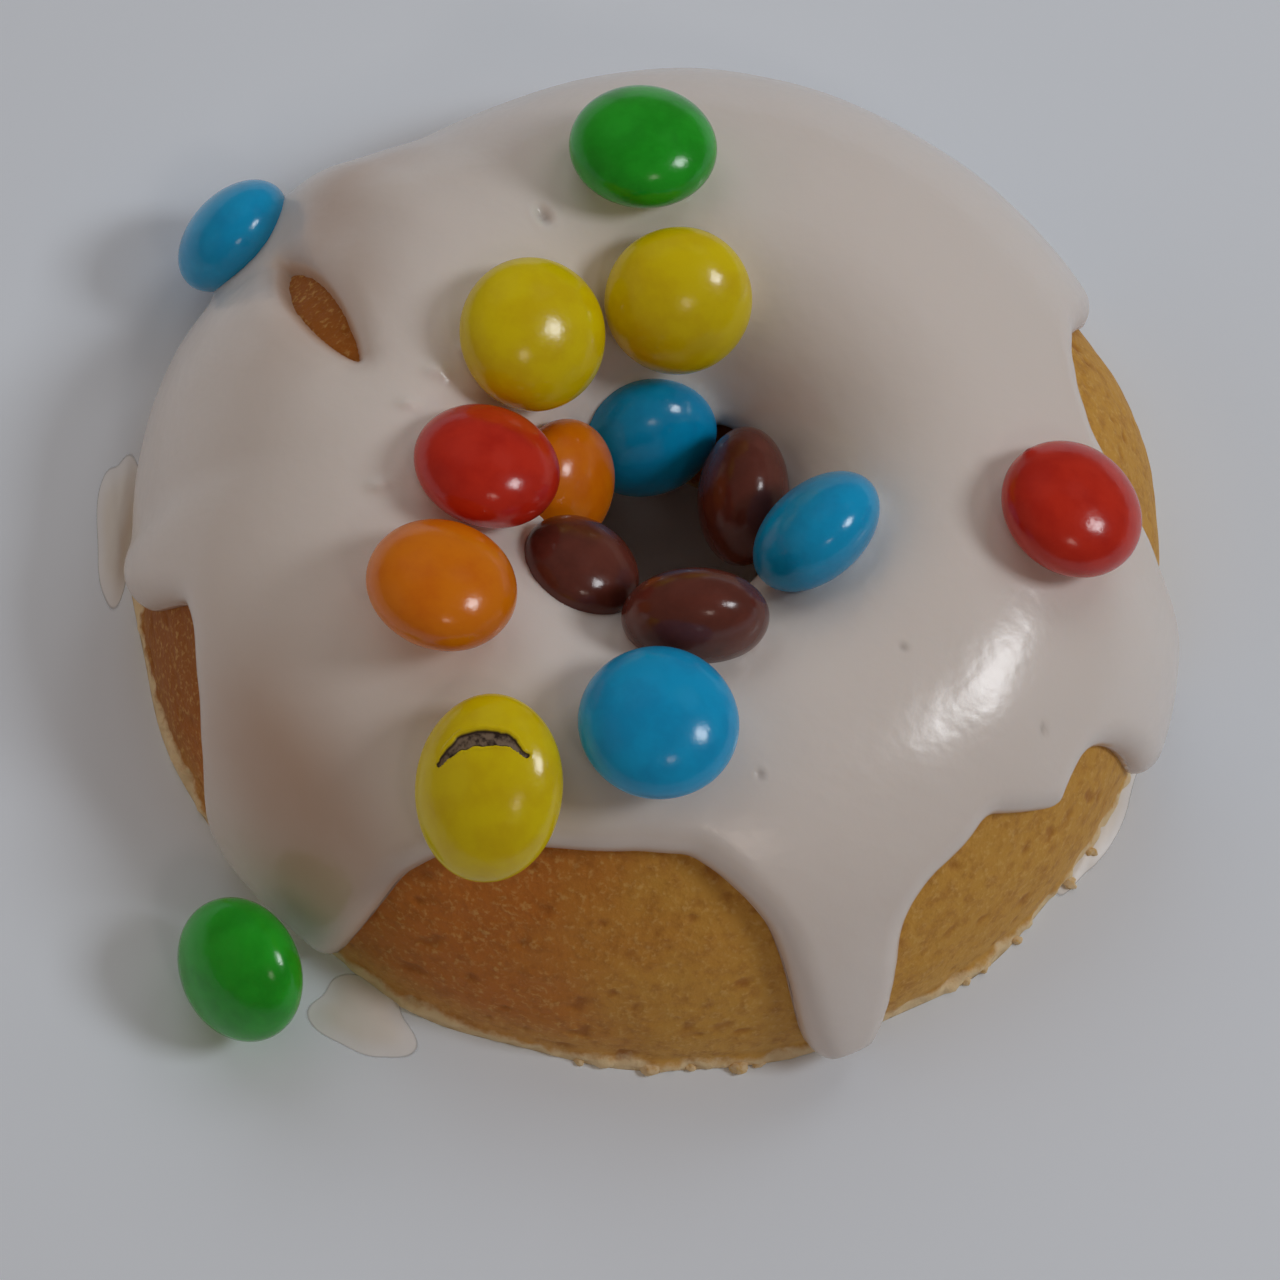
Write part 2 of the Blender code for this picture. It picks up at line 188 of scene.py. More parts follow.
def loop_mesh(name, grid):
    """Closed mesh from a grid of points whose columns and rows both run round in loops."""
    columns, rows = grid.shape[:2]
    index = np.arange(columns * rows).reshape(columns, rows)
    after = np.roll(index, -1, axis=0)
    faces = np.stack([index, after, np.roll(after, -1, axis=1), np.roll(index, -1, axis=1)], axis=-1)
    mesh = bpy.data.meshes.new(name)
    mesh.from_pydata(grid.reshape(-1, 3), [], faces.reshape(-1, 4))
    mesh.polygons.foreach_set("use_smooth", np.ones(len(mesh.polygons), dtype=bool))
    return mesh


def note(mesh, name, values):
    """Keeps one number for each point of a mesh, for its material to read."""
    mesh.attributes.new(name, "FLOAT", "POINT").data.foreach_set("value", values.astype(np.float32).ravel())


def placed(name, mesh, material, node, slot):
    """Shows a finished mesh in place of a node of the frame."""
    mesh.materials.append(material)
    piece = bpy.data.objects.new(name, mesh)
    bpy.context.scene.collection.objects.link(piece)
    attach(piece, "root")
    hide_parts(node)


class Tone:
    """A value in a material. Arithmetic on it adds Math nodes, and node() adds any other node."""

    def __init__(self, tree, socket=None):
        self.tree = tree
        self.socket = socket

    def node(self, kind, settings, inputs, output=0):
        """Adds a node of a kind, makes its settings first, feeds its sockets and gives one output."""
        made = self.tree.nodes.new(kind)
        for name, value in settings.items():
            setattr(made, name, value)
        for key, value in inputs.items():
            if isinstance(value, Tone):
                self.tree.links.new(value.socket, made.inputs[key])
            else:
                made.inputs[key].default_value = value
        return Tone(self.tree, made.outputs[output] if len(made.outputs) else None)

    def maths(self, operation, first, second):
        """One step of arithmetic on two values."""
        return self.node("ShaderNodeMath", {"operation": operation}, {0: first, 1: second})

    def __add__(self, other):
        return self.maths("ADD", self, other)

    __radd__ = __add__

    def __sub__(self, other):
        return self.maths("SUBTRACT", self, other)

    def __rsub__(self, other):
        return self.maths("SUBTRACT", other, self)

    def __mul__(self, other):
        return self.maths("MULTIPLY", self, other)

    def step(self, low, high):
        """0 below low, 1 above high, smooth between."""
        settings = {"interpolation_type": "SMOOTHSTEP"}
        return self.node("ShaderNodeMapRange", settings, {"Value": self, "From Min": low, "From Max": high})

    def mix(self, first, second):
        """Goes from the first colour to the second as this value goes from 0 to 1."""
        return self.node("ShaderNodeMix", {"data_type": "RGBA"}, {0: self, 6: first, 7: second}, 2)

    def place(self):
        """Where the surface is, in the object's own metres."""
        return self.node("ShaderNodeTexCoord", {}, {}, "Object")

    def kept(self, name):
        """A number that the mesh keeps for each point."""
        return self.node("ShaderNodeAttribute", {"attribute_name": name}, {}, "Fac")

    def noise(self, size, detail=3.0, roughness=0.55):
        """Cloudy noise from 0 to 1 with lumps of about a size in metres."""
        inputs = {"Vector": self.place(), "Scale": 1.0 / size, "Detail": detail, "Roughness": roughness}
        return self.node("ShaderNodeTexNoise", {}, inputs, "Fac")

    def bump(self, height):
        """Surface relief from a height in metres."""
        inputs = {"Height": height, "Strength": 1.0, "Distance": 1.0}
        return self.node("ShaderNodeBump", {}, inputs, "Normal")


def new_finish(name):
    """An empty material, with the value that its nodes grow from."""
    material = bpy.data.materials.new(name)
    material.use_nodes = True
    material.node_tree.nodes.clear()
    return material, Tone(material.node_tree)


def complete(tone, **sockets):
    """Ends a material with one Principled surface, its sockets named with _ for a space."""
    inputs = {name.replace("_", " "): value for name, value in sockets.items()}
    surface = tone.node("ShaderNodeBsdfPrincipled", {}, inputs, "BSDF")
    tone.node("ShaderNodeOutputMaterial", {}, {"Surface": surface})


def crust_finish():
    """Baked crust: gold, browner on the side turned away from the key lamp, partly from baking and partly
    as painted shade, mottled with darker patches and pale flecks, with painted shade in the hole and in its
    pores, and pale crumb round the torn foot. Each tone is mixed in by a mask: a step between two levels,
    or a number that the mesh keeps, often times a strength."""
    material, tone = new_finish("baked_crust")
    clouds = tone.noise(6.0 * MM, detail=4.0)
    mottle = tone.noise(1.0 * MM, detail=4.0, roughness=0.65)
    fine = tone.noise(0.55 * MM, detail=3.0)
    flecks = tone.noise(0.32 * MM, detail=2.0)
    foot = tone.kept("foot")
    browned_and_shaded = tone.kept("browned_and_shaded")
    # Gold to brown: partly browning, partly painted shade on the side away from the key lamp.
    colour = (browned_and_shaded + (clouds - 0.5) * 0.7).step(0.05, 0.95).mix(CRUST_GOLD, CRUST_BROWN)
    colour = ((tone.kept("low") + (clouds - 0.5) * 0.5).step(0.15, 0.95) * 0.45).mix(colour, CRUST_PALE)
    # Darker still in two places on the left: painted shade.
    colour = ((browned_and_shaded + (clouds - 0.5) * 0.4).step(1.0, 2.0) * 0.8).mix(colour, CRUST_DARK)
    colour = (mottle.step(0.42, 0.75) * 0.50).mix(colour, CRUST_DARK)
    colour = (flecks.step(0.46, 0.70) * fine.step(0.38, 0.62) * 0.50).mix(colour, CRUST_FLECK)
    # Darker in the hole: painted shade.
    colour = (tone.kept("inside") * 0.75).mix(colour, CRUST_DARK)
    # Darker in the pores: painted shade.
    colour = (tone.kept("pore_shade") * 0.6).mix(colour, CRUST_DARK)
    colour = (foot + (fine - 0.5) * 1.0 + (clouds - 0.5) * 0.8).step(0.25, 0.95).mix(colour, CRUMB_PALE)
    height = fine * (0.09 * MM) + flecks * (0.05 * MM) + mottle * (0.05 * MM)
    complete(tone, Base_Color=colour, Roughness=0.52 + flecks * 0.25, Specular_IOR_Level=0.4,
             Subsurface_Weight=0.08, Subsurface_Radius=(0.004, 0.002, 0.001), Subsurface_Scale=0.4,
             Normal=tone.bump(height))
    return material


def make_crust():
    """The ring's surface moved out and in by lumps, pores and a torn foot, closed by a flat base. The
    browning, partly real and partly painted shade on the side away from the key lamp, falls off with the
    cosine of the azimuth, and two places on the left are darker still with painted shade."""
    azimuth = np.linspace(-np.pi, np.pi, CRUST_COLUMNS, endpoint=False)[:, None]
    shown = np.radians(np.linspace(0.0, CRUST_SHOWN_ROLL, CRUST_ROWS))
    hidden = np.radians(np.linspace(CRUST_SHOWN_ROLL, 180.0, HIDDEN_ROWS + 1)[1:])
    roll = np.concatenate([shown, hidden])[None, :]
    points = ring_point(azimuth, roll)
    height = points[..., 2]
    ragged = height + FOOT_WAVER * lattice_noise(points, 1.2 * MM, 6)
    foot = 1.0 - eased(ragged, *FOOT_HEIGHTS)
    lumps = BROAD_LUMPS * lattice_noise(points, 2.2 * MM, 1)
    lumps = lumps + FINE_LUMPS * lattice_noise(points, 0.9 * MM, 2)
    pits = eased(lattice_noise(points, 0.8 * MM, 3), *PORE_LEVELS)
    torn = TORN_BROAD * lattice_noise(points, 0.9 * MM, 4)
    torn = torn + TORN_FINE * lattice_noise(points, 0.45 * MM, 5)
    lift = (lumps - PORE_DEPTH * pits + foot * torn) * MM * eased(height, 0.0, FLOOR_FADE)
    points = points + ring_normal(azimuth, roll) * lift[..., None]
    mesh = loop_mesh("cake_crust", points)
    note(mesh, "foot", foot)
    # The pores' depth also sets the painted shade in them.
    note(mesh, "pore_shade", pits)
    note(mesh, "low", 1.0 - eased(height, *LOW_HEIGHTS))
    # How far into the hole a point is, for the painted shade there.
    note(mesh, "inside", np.broadcast_to(eased(np.degrees(roll), *HOLE_SHADE_ROLLS), height.shape))
    # Browning, and painted shade on the side away from the key lamp, with two places of painted shade.
    browned_and_shaded = 1.0 - eased(np.cos(azimuth + BROWNED_AND_SHADED_TURN), *BROWNED_AND_SHADED_LEVELS)
    for place, span in DARKER_SHADED_PLACES:
        browned_and_shaded = browned_and_shaded + near(azimuth, place, span)
    note(mesh, "browned_and_shaded", np.broadcast_to(browned_and_shaded, height.shape))
    placed("cake_crust", mesh, crust_finish(), "cake", "cake")


make_crust()

# The poured icing. The real one is a thick off-white sugar icing that the top of the ring was dipped
# in. It ran down the sides and set: broad lobes, narrow drips with full ends, a rounded edge all
# round, and a bare slit at the upper left where it tore.
GAP = 0.3 * MM
ICING = 1.5 * MM
SKIN_SAG = 0.17 * MM
LOW_THINNING = 0.5 * MM
LOW_LIMIT = 0.7 * CREST_HEIGHT
EDGE_ROUND = 1.9 * MM

# Full ends of drips: azimuth and span in degrees, and how much thicker the icing is there.
DRIP_BEADS = ((-56.0, 5.0, 0.8 * MM), (-158.5, 3.5, 0.6 * MM))

# In degrees: where the icing ends in the hole, how far that wavers, and how its outer edge is eased.
ICING_HOLE_ROLL = 152.0
ICING_HOLE_WAVE = 4.0
EDGE_EASING = 1.2

# The bare slit, with its place and its turn in degrees.
SLIT_LENGTH = 12.0 * MM
SLIT_WIDTH = 2.3 * MM
SLIT_POINTING = 0.8
SLIT_THINNING = 0.5 * MM
SLIT_THIN_REACH = 3.0 * MM
SLIT_AZIMUTH = 168.8
SLIT_ROLL = 55.3
SLIT_TURN = 32.0
SLIT_DIP = 0.40 * MM
SLIT_BANK = 0.16 * MM

# The skin's depth in the crust, its waves, its thin rim, which fades between two rolls in degrees, how
# grey the painted shade in a burst bubble is, the bank round it in parts of its depth and radius, and
# the candies' seats.
SKIN_DEPTH = 0.60 * MM
BROAD_WAVE = 0.10 * MM
FINE_WAVE = 0.04 * MM
RIM_REACH = 0.8 * MM
RIM_ROLLS = (100.0, 120.0)
BURST_SHADE = 0.6
BURST_BANK = 0.12
BURST_BANK_PLACE = 1.9
BURST_BANK_SHARPNESS = 3.0
SEAT_RISE = 0.45 * MM
SEAT_REACH = 0.36 * MM

# The icing's mesh. A row's share runs from 0 at the outer edge to 1 at the edge in the hole.
ICING_COLUMNS = 780
ICING_ROWS = 118
ICING_INNER_ROWS = 8
EDGE_LINE_POINTS = 3
EDGE_LINE_PARTS = 40
FINE_AZIMUTHS = 2881
STEEP_EDGE_WEIGHT = 0.35
EDGE_ROW_STEP = 0.12
EDGE_ROW_SHARE = 0.14
SLIT_ROW_PLACE = 0.42
SLIT_ROW_SPREAD = 0.14
SLIT_ROW_PACKING = 0.5

ICING_WHITE = (0.800, 0.745, 0.700, 1.0)
ICING_THIN_AND_SHADED = (0.575, 0.405, 0.300, 1.0)
PINHOLE_SHADE = (0.420, 0.370, 0.330, 1.0)

# Lower edge of the icing round the ring: azimuth and roll in degrees. High rolls are bare patches.
ICING_EDGE = (
    (-172, 5), (-165, 5), (-160, 8), (-155, 14), (-153.5, 20), (-152.3, 28), (-151, 35), (-148, 36),
    (-146, 35), (-140, 30), (-135, 22), (-131, 9), (-127, 5), (-123, 4), (-112, 4), (-110, 8),
    (-109.7, 20), (-109.4, 29), (-108.9, 36), (-107.3, 42), (-104.5, 49), (-100, 55), (-91.5, 58.5),
    (-81, 61.5), (-74, 61.5), (-70, 57.5), (-66, 51), (-63, 43), (-61.3, 28), (-60, 13), (-58.8, 5),
    (-51, 5), (-49.7, 13), (-49.3, 26), (-48.4, 34), (-46.5, 40), (-43, 44), (-37, 46), (-33, 48.5),
    (-28, 42), (-24, 37), (-21, 40), (-17.5, 41.5), (-14.5, 38), (-12, 30), (-10.7, 20), (-9.8, 8),
    (-7, 5), (4, 5), (7.5, 10), (10.5, 34), (17, 52), (24, 58.5), (29.5, 59.5), (35, 57), (40, 50),
    (43.5, 32), (46, 14), (50, 7), (75, 5), (105, 6), (125, 9), (145, 6), (165, 8),
)

# Drops that fell on the setting icing and burst bubbles in it: azimuth and roll in degrees, height,
# which is below 0 for a hole, and radius.
DROPS_AND_HOLES = (
    (178.5, 96.5, 0.34 * MM, 0.50 * MM), (-172.5, 91.5, 0.30 * MM, 0.42 * MM),
    (-155.0, 84.5, 0.28 * MM, 0.42 * MM), (171.0, 101.0, 0.20 * MM, 0.30 * MM),
    (134.5, 88.5, -0.50 * MM, 0.36 * MM), (-29.0, 88.0, -0.08 * MM, 0.24 * MM),
    (-63.5, 77.0, -0.08 * MM, 0.24 * MM), (-21.0, 56.0, -0.08 * MM, 0.26 * MM),
)

# Places where the icing is tinted warm and dark: it is thin there, so that the crust tints it, and on
# the lower left the tint is also painted shade on the side away from the key lamp. Azimuth, roll and
# their spans in degrees, and how strong the tint is.
SHEER_AND_SHADED_PLACES = (
    (151.0, 44.0, 14.0, 13.0, 0.55), (171.0, 62.0, 16.0, 16.0, 0.45), (-128.0, 43.0, 18.0, 18.0, 0.60),
    (-116.0, 28.0, 17.0, 20.0, 0.60), (-99.0, 70.0, 12.0, 8.0, 0.40),
)

CANDY_NODES = sorted(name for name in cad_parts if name.startswith("candy_"))

# A candy is long where its points spread this many times as much as along its next axis.
LONG_CANDY_SPREAD = 1.15


def candy_pose(node):
    """A candy's middle, its three axes as rows, and its half sizes along them, from its node. The
    shortest axis comes last and points up; the first is the longest, or +X on a round candy."""
    points = np.array([vertex.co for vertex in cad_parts[node].data.vertices], float)
    low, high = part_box(node)
    middle = np.mean(np.unique(points.round(7), axis=0), axis=0)
    spread, axes = np.linalg.eigh(np.cov(np.unique((points - middle).round(7), axis=0).T))
    short = axes[:, 0] * (1.0 if axes[2, 0] >= 0.0 else -1.0)
    long_way = axes[:, 2] if spread[2] > LONG_CANDY_SPREAD * spread[1] else np.array([1.0, 0.0, 0.0])
    long_way = long_way * (1.0 if long_way[0] >= 0.0 else -1.0)
    long_way = long_way - short * (long_way @ short)
    long_way = long_way / np.linalg.norm(long_way)
    axes = np.stack([long_way, np.cross(short, long_way), short])
    return middle, axes, np.abs((points - middle) @ axes.T).max(axis=0)


CANDY_POSES = {node: candy_pose(node) for node in CANDY_NODES}


def candy_distance(points, node):
    """About how far points lie outside a candy's ellipsoid: the scaled radius less one, over the
    length of its gradient. It is 0 inside."""
    middle, axes, half = CANDY_POSES[node]
    scaled = (points - middle) @ axes.T / half
    radius = np.linalg.norm(scaled, axis=-1)
    slope = np.linalg.norm(scaled / half, axis=-1) / np.maximum(radius, 1e-9)
    return np.clip((radius - 1.0) / np.maximum(slope, 1e-9), 0.0, None)


def icing_edge(azimuth):
    """Roll at which the icing ends outside."""
    return np.radians(round_ring(azimuth, ICING_EDGE, EDGE_EASING))


def icing_hole_edge(azimuth):
    """Roll at which the icing ends in the hole, a slow wave."""
    wave = 0.6 * np.sin(3.0 * azimuth + 0.7) + 0.4 * np.sin(5.0 * azimuth)
    return np.radians(ICING_HOLE_ROLL + ICING_HOLE_WAVE * wave)


def icing_columns(count):
    """Azimuths of the mesh columns, closer together where the edge of the icing is steep."""
    fine = np.linspace(-np.pi, np.pi, FINE_AZIMUTHS)
    slope = np.gradient(icing_edge(fine), fine)
    steps = np.sqrt(1.0 + (STEEP_EDGE_WEIGHT * slope[:-1]) ** 2)
    walked = np.concatenate([[0.0], np.cumsum(steps)])
    return np.interp(np.arange(count) / count, walked / walked[-1], fine)


def distance_to(points, line):
    """Distance from each point to the nearest of a line's points."""
    flat = points.reshape(-1, 3)
    nearest = np.full(len(flat), np.inf)
    for piece in np.array_split(line, EDGE_LINE_PARTS):
        squared = (flat ** 2).sum(axis=1)[:, None] + (piece ** 2).sum(axis=1) - 2.0 * flat @ piece.T
        nearest = np.minimum(nearest, squared.min(axis=1))
    return np.sqrt(np.clip(nearest, 0.0, None)).reshape(points.shape[:-1])


def slit_frame():
    """Centre of the bare slit on the cake, with its long direction, cross direction and normal."""
    azimuth, roll = np.radians(SLIT_AZIMUTH), np.radians(SLIT_ROLL)
    normal = ring_normal(azimuth, roll)
    ring_way = np.array([-np.sin(azimuth), np.cos(azimuth), 0.0])
    turn = np.radians(SLIT_TURN)
    long_way = np.cos(turn) * np.cross(normal, ring_way) + np.sin(turn) * ring_way
    return ring_point(azimuth, roll), long_way, np.cross(normal, long_way), normal


def slit_distance(points):
    """How far each point lies outside the lens-shaped slit, along the surface. It is below 0 in the slit,
    by the distance across it to the nearer side."""
    centre, long_way, cross_way, normal = slit_frame()
    away = points - centre
    along = away @ long_way / (SLIT_LENGTH / 2.0)
    half_width = SLIT_WIDTH / 2.0 * np.clip(1.0 - along ** 2, 0.0, 1.0) ** SLIT_POINTING
    past_side = np.abs(away @ cross_way) - half_width
    past_end = np.clip(np.abs(along) - 1.0, 0.0, None) * SLIT_LENGTH / 2.0
    inside = (past_side < 0.0) & (past_end <= 0.0)
    return np.where(inside, past_side, np.hypot(np.clip(past_side, 0.0, None), past_end))


def icing_finish():
    """Set sugar icing: off-white with a satin gloss and fine ripples, warmer where it is so thin that the
    crust shows, with painted shade in that warm tone on the lower left, and grey painted shade in its
    burst bubbles."""
    material, tone = new_finish("poured_icing")
    clouds = tone.noise(9.0 * MM, detail=3.0)
    grain = tone.noise(0.30 * MM, detail=2.0)
    ripple = tone.noise(2.4 * MM, detail=2.0)
    crinkle = tone.noise(0.75 * MM, detail=2.0)
    thin = 1.0 - (tone.kept("cover") + (clouds - 0.5) * 0.30).step(0.05, 0.85)
    sheer_and_shade = tone.kept("sheer_and_shade") + (clouds - 0.5) * 0.25
    thin = thin * 0.5 + tone.kept("rim") * 0.5
    colour = (thin * 0.95).mix(ICING_WHITE, ICING_THIN_AND_SHADED)
    # Tinted in the listed places: thin icing, and on the lower left painted shade as well.
    colour = sheer_and_shade.step(0.0, 1.1).mix(colour, ICING_THIN_AND_SHADED)
    # Grey in the burst bubbles: painted shade.
    colour = tone.kept("burst").mix(colour, PINHOLE_SHADE)
    height = ripple * (0.060 * MM) + crinkle * (0.012 * MM) + grain * (0.001 * MM)
    complete(tone, Base_Color=colour, Roughness=0.15 + clouds * 0.10 + grain * 0.05, Specular_IOR_Level=0.5,
             Subsurface_Weight=0.12, Subsurface_Radius=(0.004, 0.003, 0.0022), Subsurface_Scale=0.35,
             Normal=tone.bump(height))
    return material


def icing_rolls(start, stop):
    """Rolls of the mesh rows from one edge to the other, closer together near both and near the slit."""
    even = np.linspace(0.0, 1.0, ICING_ROWS)
    packed = EDGE_ROW_STEP + eased(np.minimum(even, 1.0 - even), 0.0, EDGE_ROW_SHARE)
    packed = packed * (1.0 - SLIT_ROW_PACKING * np.exp(-(((even - SLIT_ROW_PLACE) / SLIT_ROW_SPREAD) ** 2)))
    share = np.concatenate([[0.0], np.cumsum(packed[:-1])])
    return start + (stop - start) * (share / share[-1])[None, :]


def icing_thickness(azimuth, under, slit):
    """Thickness of the icing above each point of the cake, and how much a burst bubble is greyed with
    painted shade. It is thinner low down and round the slit, fuller in the drips' ends, and has waves,
    drops and holes."""
    low = np.clip(1.0 - under[..., 2] / LOW_LIMIT, 0.0, 1.0)
    beads = sum(rise * near(azimuth, place, span) for place, span, rise in DRIP_BEADS)
    full = ICING + low * (beads - LOW_THINNING)
    full = full + BROAD_WAVE * lattice_noise(under, 7.0 * MM, 11)
    full = full + FINE_WAVE * lattice_noise(under, 3.0 * MM, 12)
    full = full - SLIT_THINNING * np.exp(-((np.clip(slit, 0.0, None) / SLIT_THIN_REACH) ** 2))
    burst = np.zeros(under.shape[:2])
    for place, tilt, rise, reach in DROPS_AND_HOLES:
        spot = ring_point(np.radians(place), np.radians(tilt))
        away = np.linalg.norm(under - spot, axis=-1) / reach
        bank = np.exp(-((away - BURST_BANK_PLACE) ** 2) * BURST_BANK_SHARPNESS)
        full = full + rise * np.exp(-(away ** 2)) + BURST_BANK * max(-rise, 0.0) * bank
        # Painted shade greys each hole.
        burst = np.maximum(burst, (rise < 0.0) * BURST_SHADE * np.exp(-(away ** 2)))
    return full, burst


def make_icing():
    """The skin of icing: an outer surface whose height above the cake is a quarter ellipse near every
    edge and even elsewhere, dipped into the crust at the slit, drawn up round each candy, and joined to
    an inner surface in the crust. Columns crowd where the edge is steep, rows near the edges and slit."""
    azimuth = icing_columns(ICING_COLUMNS)[:, None]
    start, stop = icing_edge(azimuth), icing_hole_edge(azimuth)
    roll = icing_rolls(start, stop)
    under = ring_point(azimuth, roll)
    normal = ring_normal(azimuth, roll)

    between = np.arange(EDGE_LINE_POINTS * ICING_COLUMNS) / EDGE_LINE_POINTS
    fine = np.interp(between, np.arange(ICING_COLUMNS), azimuth[:, 0])
    lines = np.concatenate([ring_point(fine, icing_edge(fine)), ring_point(fine, icing_hole_edge(fine))])
    slit = slit_distance(under)
    nearest = np.minimum(distance_to(under, lines), slit)
    full, burst = icing_thickness(azimuth, under, slit)
    run = np.clip(nearest / EDGE_ROUND, 0.0, 1.0)
    rounded = np.sqrt(1.0 - (1.0 - run) ** 2)
    lift = (GAP + SKIN_SAG + full) * rounded - SLIT_DIP * np.clip(-slit / SLIT_BANK, 0.0, 1.0)
    top = under + normal * lift[..., None]
    for node in CANDY_NODES:
        away = candy_distance(top, node)
        lift = lift + SEAT_RISE * np.exp(-away / SEAT_REACH) * rounded
    outer = under + normal * lift[..., None]

    inner_roll = start + (stop - start) * np.linspace(1.0, 0.0, ICING_INNER_ROWS)[None, :]
    inner = ring_point(azimuth, inner_roll) - ring_normal(azimuth, inner_roll) * SKIN_DEPTH
    mesh = loop_mesh("poured_icing", np.concatenate([outer, inner], axis=1))
    hidden = np.zeros(inner.shape[:2])
    turned = np.degrees(roll)
    # Thin icing that the crust tints, and on the lower left painted shade too.
    sheer_and_shade = sum(depth * near(azimuth, place, span) * np.exp(-(((turned - tilt) / tall) ** 2))
                for place, tilt, span, tall, depth in SHEER_AND_SHADED_PLACES)
    note(mesh, "cover", np.concatenate([np.clip(lift, 0.0, None) / (GAP + ICING), hidden], axis=1))
    rim = np.exp(-np.clip(nearest, 0.0, None) / RIM_REACH) * (1.0 - eased(turned, *RIM_ROLLS))
    note(mesh, "rim", np.concatenate([rim, hidden], axis=1))
    note(mesh, "sheer_and_shade", np.concatenate([np.clip(sheer_and_shade, 0.0, 1.0), hidden], axis=1))
    note(mesh, "burst", np.concatenate([burst, hidden], axis=1))
    placed("poured_icing", mesh, icing_finish(), "icing", "icing")


make_icing()

# The candies. Each is a small lens of chocolate in a coloured sugar shell, polished with wax, and no
# two are quite alike: the shell is faintly lumpy and its colour mottled. They were dropped on the
# icing while it was wet, and it drew up round them and set. The shell of one has cracked.
CANDY_SIDES = 112
CANDY_RINGS = 56
CRACKED_CANDY = "candy_yellow_front"
CRACKED_SIDES = 300
CRACKED_RINGS = 150
SHELL_LUMPS = 0.010
SHELL_LUMP_SIZE = 0.8
SHELL_NOISE_SHIFT = 20.0

# The crack. Its levels say where, on the way from closed at 0 to open at 1, the lip rises and falls,
# the shell sinks, and its colour turns.
CRACK_WIDTH = 0.70 * MM
CRACK_ENDS = (0.06, 0.94)
CRACK_FULLNESS = 0.7
CRACK_FRAY = 0.13 * MM
CRACK_DEPTH = 0.22 * MM
CRACK_LIP = 0.07 * MM
CRACK_LIP_RISES = (0.0, 0.15)
CRACK_LIP_FALLS = (0.15, 0.4)
CRACK_SINKS = (0.15, 0.55)
CRACK_TURNS = (0.0, 0.75)
CRACK_STEPS = 60

# A small nub on the rim of one candy, in parts of its half sizes, and how dark the nub is.
NUB_CANDY = "candy_red_right"
NUB_PLACE = np.array([-0.85, 0.37, 0.38])
NUB_REACH = 0.11
NUB_RISE = 0.05
NUB_DARK = 0.45

# Two near tones of each shell.
SHELL_COLOURS = {
    "green": ((0.014, 0.440, 0.018, 1.0), (0.007, 0.320, 0.010, 1.0)),
    "yellow": ((0.820, 0.650, 0.001, 1.0), (0.730, 0.530, 0.001, 1.0)),
    "blue": ((0.001, 0.395, 0.760, 1.0), (0.001, 0.315, 0.640, 1.0)),
    "red": ((0.650, 0.028, 0.010, 1.0), (0.530, 0.016, 0.006, 1.0)),
    "orange": ((0.830, 0.220, 0.002, 1.0), (0.740, 0.165, 0.002, 1.0)),
    "brown": ((0.150, 0.036, 0.024, 1.0), (0.105, 0.025, 0.017, 1.0)),
}
# Chocolate tones: near black, which along the crack's edge is painted shade, and greyish.
CHOCOLATE_DARK = (0.030, 0.016, 0.012, 1.0)
CHOCOLATE_GREY = (0.230, 0.165, 0.115, 1.0)

# The crack's middle line, across the candy and in parts of its half sizes.
CRACK_LINE = np.array([
    (-0.23, -0.61), (-0.34, -0.50), (-0.48, -0.34), (-0.56, -0.10), (-0.585, 0.15), (-0.54, 0.37),
    (-0.42, 0.57),
])


def shell_finish(colour):
    """Polished sugar shell: two near tones in soft clouds and tiny dimples. Where the shell is open, the
    chocolate under it is greyish, and nearly black along the edge, where painted shade deepens the
    chocolate's dark."""
    material, tone = new_finish("sugar_shell_" + colour)
    light, dark = SHELL_COLOURS[colour]
    clouds = tone.noise(2.2 * MM, detail=3.0)
    dimples = tone.noise(0.40 * MM, detail=2.0)
    specks = tone.noise(0.16 * MM, detail=1.0)
    shade = (clouds.step(0.35, 0.70) * 0.8 + specks * 0.2).mix(light, dark)
    opened = tone.kept("opened")
    # Along the crack's edge the chocolate is near black: painted shade.
    inside = (opened.step(0.55, 0.85) * dimples.step(0.30, 0.60)).mix(CHOCOLATE_DARK, CHOCOLATE_GREY)
    shade = opened.step(0.30, 0.55).mix(shade, inside)
    height = dimples * (0.008 * MM) + clouds * (0.05 * MM) + specks * (0.002 * MM)
    complete(tone, Base_Color=shade, Roughness=0.15 + dimples * 0.08 + opened * 0.3, Specular_IOR_Level=0.5,
             Subsurface_Weight=0.03, Subsurface_Scale=0.2, Normal=tone.bump(height))
    return material


def ball_mesh(name, grid):
    """Closed mesh from rows of points round a ball, its first and last row each one point."""
    rows, sides = grid.shape[:2]
    index = 1 + np.arange((rows - 2) * sides).reshape(rows - 2, sides)
    after = np.roll(index, -1, axis=1)
    quads = np.stack([index[:-1], index[1:], after[1:], after[:-1]], axis=-1).reshape(-1, 4)
    last = 1 + (rows - 2) * sides
    top = np.stack([np.zeros(sides, int), index[0], after[0]], axis=-1)
    bottom = np.stack([np.full(sides, last), after[-1], index[-1]], axis=-1)
    mesh = bpy.data.meshes.new(name)
    mesh.from_pydata(ball_rows(grid), [], quads.tolist() + top.tolist() + bottom.tolist())
    mesh.polygons.foreach_set("use_smooth", np.ones(len(mesh.polygons), dtype=bool))
    return mesh


def ball_rows(grid):
    """The rows of a ball as one list, with its first and last row taken once."""
    inner = grid[1:-1].reshape(-1, *grid.shape[2:])
    return np.concatenate([grid[:1, 0], inner, grid[-1:, 0]])


